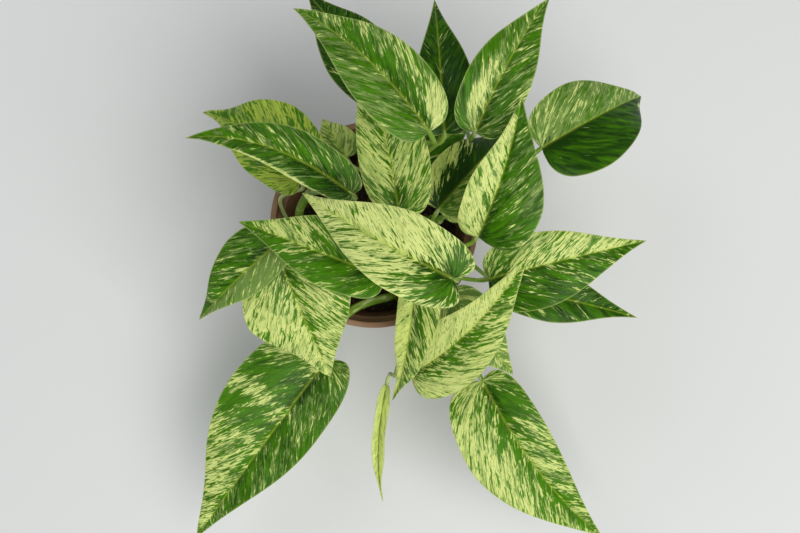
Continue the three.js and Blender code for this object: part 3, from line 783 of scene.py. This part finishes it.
def rod_points(line, ups, beside, radius, turn):
    """A ring of corners at each point of the line: radius times the cosine of the turn upward, plus radius times
    its sine to the side."""
    turn = turn[:, None]
    return line[:, None] + radius[..., None] * (np.cos(turn) * ups[:, None] + np.sin(turn) * beside[:, None])


def rod_map(turn, radius, run, shift):
    """Pattern places on a rod: across it by the sine of the turn, and along it."""
    return np.stack(np.broadcast_arrays(np.sin(turn) * radius, run[:, None]), -1).reshape(-1, 2) + shift


def rod_faces(rings, sides):
    """Squares between neighbouring rings, which close round the rod, and one face over each end."""
    index = np.arange(rings * sides).reshape(rings, sides)
    beside = np.roll(index, -1, axis=1)
    squares = np.stack([index[:-1], beside[:-1], beside[1:], index[1:]], -1).reshape(-1, 4)
    return squares.tolist() + [index[0, ::-1].tolist(), index[-1].tolist()]


# %% Stalks
STALK_SIDES, STALK_RINGS = 20, 90
STALK_RADIUS = 0.98 * MM
PALE_STALKS = {"left_back": 0.9, "furled": 0.5, "small_back": 0.5, "trailing_left": 0.2, "left_high": 0.35,
               "front": 0.3}
COLLAR_SWELL, FOOT_SWELL, GROOVE_SHARE = 0.22, 0.75, 0.30  # as shares of the radius
FADING_END = ((26, 0.55), (15, 0.6), (6, 0.7))  # rows of the blade, and how far under each the stalk runs, in mm


def nearest_stem(point):
    """The stem whose centre line passes nearest to a point, and the point of it that does."""
    dense = {name: smooth_line(line, 200)[0] for name, line in vine_lines.items()}
    name = min(dense, key=lambda n: lengths(dense[n] - point).min())
    return name, dense[name][np.argmin(lengths(dense[name] - point))]


joints_on = {name: [] for name in vine_names}


def stalk_piece(name):
    """A leaf's stalk, from inside its stem to under the midrib. It clasps the stem with a wide foot, carries a
    groove with two low wings on its upper side, thickens just before the blade, and fades out under the midrib."""
    line, blade = petiole_lines[name], blades[name]
    base, heading, normal = blade["base"]
    if lengths(line[0] - base) > lengths(line[-1] - base):
        line = line[::-1]
    stem, heart = nearest_stem(line[-1])
    joints_on[stem].append(heart)
    under = [blade["spine"][k] - normal * depth * MM for k, depth in FADING_END]
    neck = base - heading * 0.4 * MM - normal * 0.9 * MM
    path = np.concatenate([under, [neck], line[1:], [line[-1] + 0.6 * (heart - line[-1])]])
    path, run = smooth_line(path, STALK_RINGS)
    ups, beside = steady_frames(path, normal)
    turn = full_turn(STALK_SIDES)
    about = np.abs((turn + np.pi) % (2 * np.pi) - np.pi)
    under_run = run_of(np.array(under + [base]))[-1]
    taper = 0.25 + 0.75 * ease(0, under_run, run)
    collar = COLLAR_SWELL * bump_at(run - under_run - 3 * MM, 2.5 * MM)
    foot = FOOT_SWELL * bump_at(run[-1] - run, 3.2 * MM)
    wings = 0.10 + 0.35 * ease(0.35, 1, (run - under_run) / (run[-1] - under_run))
    shape = 1 - GROOVE_SHARE * bump_at(about, 0.42) + wings[:, None] * bump_at(about - 0.85, 0.22)
    shape = 1 + (shape - 1) * ease(under_run, under_run + 4 * MM, run)[:, None]
    radius = STALK_RADIUS * (taper + collar + foot)[:, None] * shape
    radius[[0, -1]] *= 0.3
    points = rod_points(path, ups, beside, radius, turn).reshape(-1, 3)
    # painted highlight: every stalk is painted paler for about 6 mm either side of where it meets its blade, for the
    # light on its top. PALE_STALKS is the cream that some stalks have.
    cream_and_highlight = PALE_STALKS.get(name, 0.0) + 0.25 * bump_at(run - under_run, 6 * MM)
    cork = 0.9 * bump_at(run[-1] - run, 1.2 * MM)
    values = {"cream_and_highlight": np.repeat(cream_and_highlight, STALK_SIDES), "cork": np.repeat(cork, STALK_SIDES)}
    return piece("stalk_" + name, points, rod_faces(STALK_RINGS, STALK_SIDES), stalk_finish,
                 ["petiole_" + name], values, rod_map(turn, STALK_RADIUS, run, (0.2 * len(name), 0)))


stalks = {name: stalk_piece(name) for name in leaf_names}
print(len(stalks), "stalks; joints on the stems:", {name: len(at) for name, at in joints_on.items()})

# %% Stems
STEM_SIDES, STEM_RINGS = 28, 150
STEM_RADIUS = 2.15 * MM
SCAR_PLACE = 3.4 * MM  # how far from a joint its scar lies


def stem_piece(name):
    """A stem, from its foot in the soil to its growing end. It swells at each joint, beside which a scar rings
    it, and it rounds off at the growing end."""
    line = vine_lines[name]
    line = line if line[0, 2] < line[-1, 2] else line[::-1]
    path, run = smooth_line(line, STEM_RINGS)
    ups, beside = steady_frames(path, np.array([1.0, 0, 0]))
    turn = full_turn(STEM_SIDES)
    to_joint = np.array([np.abs(run - run[np.argmin(lengths(path - at))]) for at in joints_on[name]])
    to_joint = to_joint.min(axis=0) if len(to_joint) else np.full(len(run), 1.0)
    swell = 0.16 * bump_at(to_joint, 2.6 * MM) - 0.07 * bump_at(to_joint - SCAR_PLACE, 0.5 * MM)
    end = np.sqrt(np.clip(1 - np.clip(1 - (run[-1] - run) / (2.0 * MM), 0, 1) ** 2, 0.02, 1))
    ridges = 0.03 * np.cos(5 * turn + 1) + 0.04 * lumps(np.stack(np.broadcast_arrays(
        turn[None] * 3 * MM + 0.1, run[:, None] + 0.1), -1), 4 * MM, len(name))
    radius = STEM_RADIUS * (end * (0.97 + swell))[:, None] * (1 + ridges)
    points = rod_points(path, ups, beside, radius, turn).reshape(-1, 3)
    cork = 0.75 * bump_at(to_joint - SCAR_PLACE, 0.8 * MM) + 0.35 * bump_at(run, 0.5 * run[-1])
    values = {"cream_and_highlight": np.full(len(points), 0.2), "cork": np.repeat(cork, STEM_SIDES)}
    return piece("stem_" + name[len("vine_"):], points, rod_faces(STEM_RINGS, STEM_SIDES), stalk_finish,
                 [name], values, rod_map(turn, STEM_RADIUS, run, (0, 0.3 * len(name))))


stems = {name: stem_piece(name) for name in vine_names}
print(len(stems), "stems")

# %% [markdown]
# ## The pot
# A moulded pot is one profile turned about its axis, so the profile is all the work: a thin wall that tapers to
# the base, a collar that lets pots nest, and a lip rolled at the rim. Every corner is rounded, since plastic never
# sets sharp. The drain holes are the only thing that isn't round about the axis, so they are cut afterwards.

# %% A profile with rounded corners
BASE_RADIUS, WALL, POT_FLOOR = 36.5 * MM, 1.4 * MM, 2.2 * MM
COLLAR_RADIUS, COLLAR_BOTTOM = rim_radius - 1.5 * MM, rim_height - 11 * MM
WALL_TOP_RADIUS = COLLAR_RADIUS - 3.2 * MM
LEDGE = COLLAR_BOTTOM + WALL


def inside_radius(height):
    """The inside of the wall, which widens evenly from the base to the ledge."""
    return BASE_RADIUS + (WALL_TOP_RADIUS - BASE_RADIUS) * (height - POT_FLOOR) / (LEDGE - POT_FLOOR) - WALL


def rounded(corners, cuts, steps=6):
    """A path with its corners rounded: each becomes a quadratic curve, which starts and ends a cut before and
    after it and is pulled towards it."""
    corners, cuts = np.array(corners), np.array(cuts)[:, None]
    before, after = unit(corners[:-2] - corners[1:-1]), unit(corners[2:] - corners[1:-1])
    start, end = corners[1:-1] + cuts * before, corners[1:-1] + cuts * after
    t = np.linspace(0, 1, steps)[None, :, None]
    curves = (1 - t) ** 2 * start[:, None] + 2 * t * (1 - t) * corners[1:-1, None] + t**2 * end[:, None]
    return np.concatenate([corners[:1], curves.reshape(-1, 2), corners[-1:]])


POT_PROFILE = [
    ((0.4 * MM, 0.0), None), ((BASE_RADIUS, 0.0), 1.0),
    ((WALL_TOP_RADIUS, COLLAR_BOTTOM), 0.6), ((COLLAR_RADIUS, COLLAR_BOTTOM + 0.7 * MM), 0.6),
    ((COLLAR_RADIUS, rim_height - 3.2 * MM), 0.4), ((rim_radius, rim_height - 2.8 * MM), 0.5),
    ((rim_radius, rim_height), 0.95), ((rim_radius - 3 * MM, rim_height), 0.95),
    ((rim_radius - 3 * MM, rim_height - 3 * MM), 0.4), ((COLLAR_RADIUS - WALL, rim_height - 3.4 * MM), 0.3),
    ((COLLAR_RADIUS - WALL, LEDGE + 0.7 * MM), 0.6), ((inside_radius(LEDGE), LEDGE), 0.6),
    ((inside_radius(POT_FLOOR), POT_FLOOR), 1.2), ((0.4 * MM, POT_FLOOR), None),
]
profile = rounded([at for at, _ in POT_PROFILE], [cut * MM for _, cut in POT_PROFILE[1:-1]])
long_steps = np.maximum(np.ceil(lengths(np.diff(profile, axis=0)) / (6 * MM)).astype(int), 1)
stops = np.concatenate([[0], np.cumsum(long_steps)])
profile = np.stack([np.interp(np.arange(stops[-1] + 1), stops, profile[:, k]) for k in (0, 1)], -1)
print("the pot's profile has", len(profile), "points")

# %% Turning it and cutting the drain holes
POT_SIDES, DRAIN_COUNT, DRAIN_SIDES = 192, 8, 32
DRAIN_RADIUS, DRAIN_REACH = 3.5 * MM, BASE_RADIUS - 9 * MM


def turned(outline, sides):
    """Corners of a profile turned about Z: radius times cosine, radius times sine, height."""
    turn = full_turn(sides)
    spread = [outline[:, :1] * np.cos(turn), outline[:, :1] * np.sin(turn), outline[:, 1:] + 0 * turn]
    return np.stack(spread, -1).reshape(-1, 3)


pot_points = turned(profile, POT_SIDES)
pot_faces = rod_faces(len(profile), POT_SIDES)
height, radius = pot_points[:, 2], np.hypot(pot_points[:, 0], pot_points[:, 1])
# painted light: patches of light and shade laid round the wall, which the dust value below carries
lit = lumps(np.stack([np.arctan2(pot_points[:, 1], pot_points[:, 0]) + 4, height / (20 * MM)], -1), 0.5, 5)
pot_values = {
    "dust_and_light": 0.5 * bump_at(height - rim_height, 1.2 * MM) + 0.35 * bump_at(height - COLLAR_BOTTOM, 2 * MM)
    + 0.4 * bump_at(height, 3 * MM) + 0.15 * lit,
    # painted shade: every face nearer the axis than the collar and above the floor is darkened, the inner wall and
    # the outer wall below the collar, more below three fifths of the rim's height
    "wall_shade": np.where((radius < COLLAR_RADIUS - WALL / 2) & (height > POT_FLOOR),
                      0.25 + 0.5 * (1 - ease(0.6 * rim_height, 0.95 * rim_height, height)), 0.0),
}
pot = piece("pot_shell", pot_points, pot_faces, pot_finish, ["pot"], pot_values)
drain_turn = (np.arange(DRAIN_COUNT) + 0.5) * 2 * np.pi / DRAIN_COUNT
drill = turned(np.array([[DRAIN_RADIUS, -3 * MM], [DRAIN_RADIUS, 6 * MM]]), DRAIN_SIDES)
at = DRAIN_REACH * np.stack([np.cos(drain_turn), np.sin(drain_turn), 0 * drain_turn], -1)
drill_faces = rod_faces(2, DRAIN_SIDES)
drill_mesh = bpy.data.meshes.new("drill")
drill_mesh.from_pydata((at[:, None] + drill).reshape(-1, 3).tolist(), [],
                       [[c + k * len(drill) for c in face] for k in range(DRAIN_COUNT) for face in drill_faces])
drill_object = in_scene("drill", drill_mesh)
cutting = pot.modifiers.new("drain_holes", "BOOLEAN")
cutting.operation, cutting.object, cutting.solver = "DIFFERENCE", drill_object, "EXACT"
bpy.context.view_layer.update()
cut_mesh = bpy.data.meshes.new_from_object(pot.evaluated_get(bpy.context.evaluated_depsgraph_get()))
pot.modifiers.clear()
pot.data = cut_mesh
cut_mesh.set_sharp_from_angle(angle=np.radians(38))
bpy.data.objects.remove(drill_object)
print("the pot has", len(cut_mesh.polygons), "faces after", DRAIN_COUNT, "drain holes were cut")

# %% [markdown]
# ## The soil
# Potting soil is lumps on lumps: a crowned bed whose surface is three sizes of noise, and loose crumbs, bark and a
# few pale grains on it. The crumbs are one small stone shape, stretched, turned and coloured by chance.

# %% Soil bed
SOIL_TOP, SOIL_CROWN, SOIL_SIDES, SOIL_RINGS = rim_height - 35 * MM, 2.3 * MM, 220, 70
soil_edge = inside_radius(SOIL_TOP) - 0.1 * MM
feet = np.array([line[np.argmin(np.abs(line[:, 2] - SOIL_TOP))][:2] for line in vine_lines.values()])


def soil_height(flat):
    """The bed's height: a crown that falls with the square of the radius, three sizes of lumps, and a low mound
    round each stem."""
    crown = SOIL_CROWN * (1 - (lengths(flat) / soil_edge) ** 2)
    to_foot = lengths(flat[..., None, :] - feet).min(axis=-1)
    rough = sum(size * MM * lumps(flat + 0.2, cell * MM, seed) for size, cell, seed in
                ((0.8, 7, 31), (0.5, 2.8, 32), (0.28, 1.3, 33)))
    return SOIL_TOP + crown + rough + 0.9 * MM * bump_at(to_foot, 4 * MM) - 0.8 * MM


soil_radii = soil_edge * np.linspace(0.004, 1, SOIL_RINGS) ** 0.9
turn = full_turn(SOIL_SIDES)
flat = soil_radii[:, None, None] * np.stack([np.cos(turn), np.sin(turn)], -1)
bed_top = np.concatenate([flat, soil_height(flat)[..., None]], -1).reshape(-1, 3)
soil_side = [(inside_radius(h) - 0.35 * MM, h) for h in (SOIL_TOP - 4 * MM, 30 * MM, 6 * MM, 2.6 * MM)]
bed_body = turned(np.array(soil_side + [(0.3 * MM, 2.6 * MM)]), SOIL_SIDES)
bed_points = np.concatenate([bed_top, bed_body])
bed_faces = [face[::-1] for face in rod_faces(SOIL_RINGS + 5, SOIL_SIDES)]
soil_bed = piece("soil_bed", bed_points, bed_faces, soil_finish, ["potting_soil"],
                 {"tint": np.zeros(len(bed_points))})
print("the soil bed has", len(bed_faces), "faces")

# %% Crumbs, bark and grit
CRUMB_COUNT = 900
CRUMB_SMALLEST, CRUMB_LARGEST = 0.3 * MM, 3.2 * MM
shell = bmesh.new()
for x, y, z in np.ndindex(3, 3, 3):
    if (x, y, z) != (1, 1, 1):
        shell.verts.new(unit(np.array([x, y, z]) - 1.0))
bmesh.ops.convex_hull(shell, input=shell.verts)
bmesh.ops.recalc_face_normals(shell, faces=shell.faces)
shell.verts.index_update()
stone = np.array([corner.co for corner in shell.verts])
stone_faces = np.array([[corner.index for corner in face.verts] for face in shell.faces])
shell.free()
rng = np.random.default_rng(7)
spread = soil_edge * 0.97 * np.sqrt(rng.uniform(0, 1, CRUMB_COUNT))
angle = rng.uniform(0, 2 * np.pi, CRUMB_COUNT)
flat = spread[:, None] * np.stack([np.cos(angle), np.sin(angle)], -1)
size = rng.gamma(3.0, 0.28, (CRUMB_COUNT, 1)) * MM * rng.uniform(0.55, 1.5, (CRUMB_COUNT, 3))
size = np.clip(size, CRUMB_SMALLEST, CRUMB_LARGEST)
size[:, 2] *= 0.6
spin = np.exp(1j * rng.uniform(0, 2 * np.pi, CRUMB_COUNT))[:, None]
shape = stone[None] * size[:, None] * rng.uniform(0.7, 1.2, (CRUMB_COUNT, len(stone), 1))
spun = (shape[..., 0] + 1j * shape[..., 1]) * spin
height = soil_height(flat) + 0.25 * size[:, 2]
crumb_points = np.stack([spun.real + flat[:, :1], spun.imag + flat[:, 1:], shape[..., 2] + height[:, None]], -1)
crumb_faces = (stone_faces[None] + len(stone) * np.arange(CRUMB_COUNT)[:, None, None]).reshape(-1, 3)
tint = np.repeat(rng.uniform(0, 1, CRUMB_COUNT), len(stone))
crumbs = piece("soil_crumbs", crumb_points.reshape(-1, 3), crumb_faces, soil_finish, (), {"tint": tint})
crumbs.data.polygons.foreach_set("use_smooth", np.zeros(len(crumb_faces), bool))
print(CRUMB_COUNT, "crumbs of", len(stone_faces), "faces each")

# %% The scene brought up to date
bpy.context.view_layer.update()
